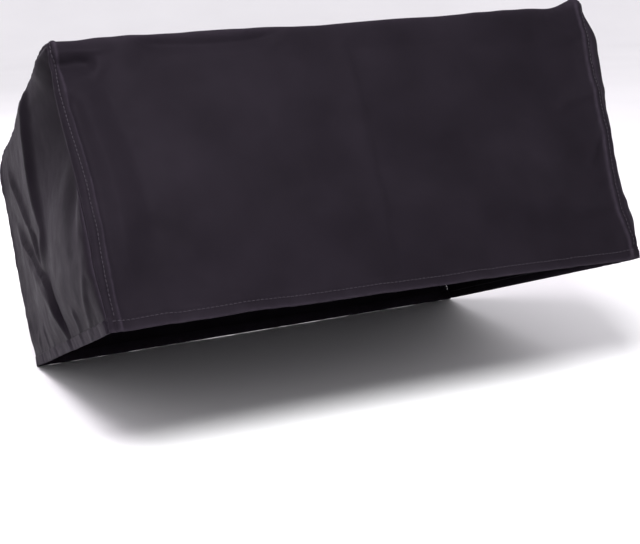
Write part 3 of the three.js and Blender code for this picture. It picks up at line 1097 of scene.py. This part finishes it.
def hem_pieces(strip, end_name, from_back, hem_cloth, thread):
    """The turned hem at one end of the strip, and its stitches."""
    hem = strip_hem(f"{end_name}_hem_band", strip, from_back, hem_cloth)
    declare(hem, f"{end_name}_hem")
    at = STRIP_END - HEM_STITCH if from_back else HEM_STITCH

    def place_of(length):
        return np.full(length.shape, at), length / half_cloth(at)

    end = half_cloth(np.array(0.0)) - 0.003
    name = f"{end_name}_hem_stitches"
    row = stitch_row(name, strip, -end, end, place_of, -STITCH_LIFT, thread)
    declare(row, f"{end_name}_hem_thread")
    return [hem, row]


def seam_pieces(strip, side, side_name, hem_cloth, thread):
    """A side seam's allowance, its overlocked edge and its two rows of stitches."""
    allowance = seam_allowance(f"{side_name}_seam_fold", strip, side, hem_cloth)
    declare(allowance, f"{side_name}_seam_allowance")
    edge = overlock(f"{side_name}_overlock_stitches", strip, side, thread)
    declare(edge, f"{side_name}_overlock_thread")
    rows = []
    for kind, distance, depth in (
        ("closing_stitch", CLOSING_STITCH, CLOTH + PLIES + STITCH_LIFT),
        ("topstitch", TOPSTITCH, -STITCH_LIFT),
    ):
        def place_of(length, distance=distance):
            return length, strip_column(length, distance, side)

        name = f"{side_name}_{kind}"
        ends = (HEM + 0.002, STRIP_END - HEM - 0.002)
        row = stitch_row(f"{name}_row", strip, *ends, place_of, depth, thread)
        declare(row, name)
        rows.append(row)
    return [allowance, edge, *rows]


def side_pieces(sheet, side_name, side_cloth, hem_cloth, thread):
    """A side panel, with its hem and the hem's stitches."""
    places = panel_places(sheet.points)
    height = np.maximum(places[..., 1], 0)
    seam_distance = edge_distance(sheet.columns, sheet.rows)
    # Paled at the hem and the seams: partly rubbed wear, partly a painted highlight along those edges.
    wear_and_painted_highlight = np.clip(np.exp(-height / 0.0012) + np.exp(-seam_distance / 0.0015), 0, 1)
    cloth = panel(f"{side_name}_side_cloth", sheet, places, wear_and_painted_highlight, side_cloth)
    declare(cloth, f"{side_name}_side_panel")
    hem = side_hem(f"{side_name}_side_hem_band", sheet, hem_cloth)
    declare(hem, f"{side_name}_side_hem")

    def place_of(length):
        return np.full(length.shape, HEM_STITCH / FRONT_DROP), length / HEM_LENGTH

    name = f"{side_name}_side_hem_stitches"
    row = stitch_row(name, sheet, 0.004, HEM_LENGTH - 0.004, place_of, -STITCH_LIFT, thread)
    declare(row, f"{side_name}_side_hem_thread")


# ---------- Floor, light and camera

# The camera as solved from the photo: where it stands, its angles in degrees, its lens in mm
CAMERA_PLACE = np.array([-0.4222, -0.9686, 0.0563])
CAMERA_AZIMUTH = -23.69
CAMERA_ELEVATION = 13.97
CAMERA_ROLL = -2.31
CAMERA_LENS = 66.45
FLOOR_FLAT = 5.0
FLOOR_CURVE = 1.5


def make_floor(height):
    """A wide flat floor that curves up far away on every side, so that no edge shows."""
    flat_radii = np.concatenate([[0.02], np.linspace(0.5, FLOOR_FLAT, 10)])
    bend = np.linspace(0.15, 1.5, 10)
    radii = np.concatenate([flat_radii, FLOOR_FLAT + FLOOR_CURVE * np.sin(bend)])
    rise = np.concatenate([np.zeros(len(flat_radii)), FLOOR_CURVE * (1 - np.cos(bend))])
    turn = np.linspace(0, 2 * math.pi, 97)[:-1]
    ring = np.stack([np.cos(turn), np.sin(turn)], -1)
    flat = radii[:, None, None] * ring[None]
    z = np.broadcast_to((height + rise)[:, None, None], (*flat.shape[:2], 1))
    points = np.concatenate([flat, z], -1)
    index = np.arange(points.shape[0] * points.shape[1]).reshape(points.shape[:2])
    closed = np.concatenate([index, index[:, :1]], 1)
    faces = quads_of(closed)[:, ::-1].tolist() + [index[0].tolist()]
    floor = new_mesh("floor", points, faces, floor_material())
    floor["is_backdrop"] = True


def add_softbox(name, place, target, size, power, colour=(1, 1, 1)):
    """A square light that faces a target."""
    data = bpy.data.lights.new(name, "AREA")
    data.shape = "RECTANGLE"
    data.size = size
    data.size_y = size
    data.energy = power
    data.color = colour
    back = np.array(place) - np.array(target)
    add_object(name, data).matrix_world = aimed(np.array(place), back / np.linalg.norm(back))


def aimed(place, back, roll=0.0):
    """A matrix at a place whose -Z looks away from the direction back."""
    right = np.cross([0, 0, 1], back)
    right = right / np.linalg.norm(right)
    up = np.cross(back, right)
    turned_right = math.cos(roll) * right + math.sin(roll) * up
    turned_up = math.cos(roll) * up - math.sin(roll) * right
    columns = np.stack([turned_right, turned_up, back, place], 1)
    return Matrix([*columns.tolist(), (0, 0, 0, 1)])


def make_lights():
    """An even pale sky, a key from the upper left behind, and two soft fills."""
    world = bpy.data.worlds.new("studio")
    bpy.context.scene.world = world
    world.use_nodes = True
    set_inputs(world.node_tree.nodes["Background"], Color=(0.99, 0.96, 1.0, 1), Strength=0.95)
    middle = (0.0, 0.05, -0.12)
    add_softbox("left_softbox", (-1.0, 1.7, 1.3), middle, 0.8, 37, (1.0, 0.93, 1.0))
    add_softbox("front_softbox", (-0.24, -0.62, 0.55), middle, 0.35, 14)
    add_softbox("right_fill", (1.9, -1.4, 1.0), middle, 1.4, 2)


def make_camera():
    """The camera at the photo's place and angles."""
    azimuth = math.radians(CAMERA_AZIMUTH)
    elevation = math.radians(CAMERA_ELEVATION)
    back = np.array([
        math.sin(azimuth) * math.cos(elevation),
        -math.cos(azimuth) * math.cos(elevation),
        math.sin(elevation),
    ])
    data = bpy.data.cameras.new("camera")
    data.lens = CAMERA_LENS
    data.clip_start = 0.01
    data.clip_end = 50
    camera = add_object("camera", data)
    camera.matrix_world = aimed(CAMERA_PLACE, back, math.radians(CAMERA_ROLL))
    bpy.context.scene.camera = camera


make_camera()
make_cover()
make_floor(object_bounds()[0].z)
make_lights()
bpy.context.scene.view_settings.view_transform = "Standard"
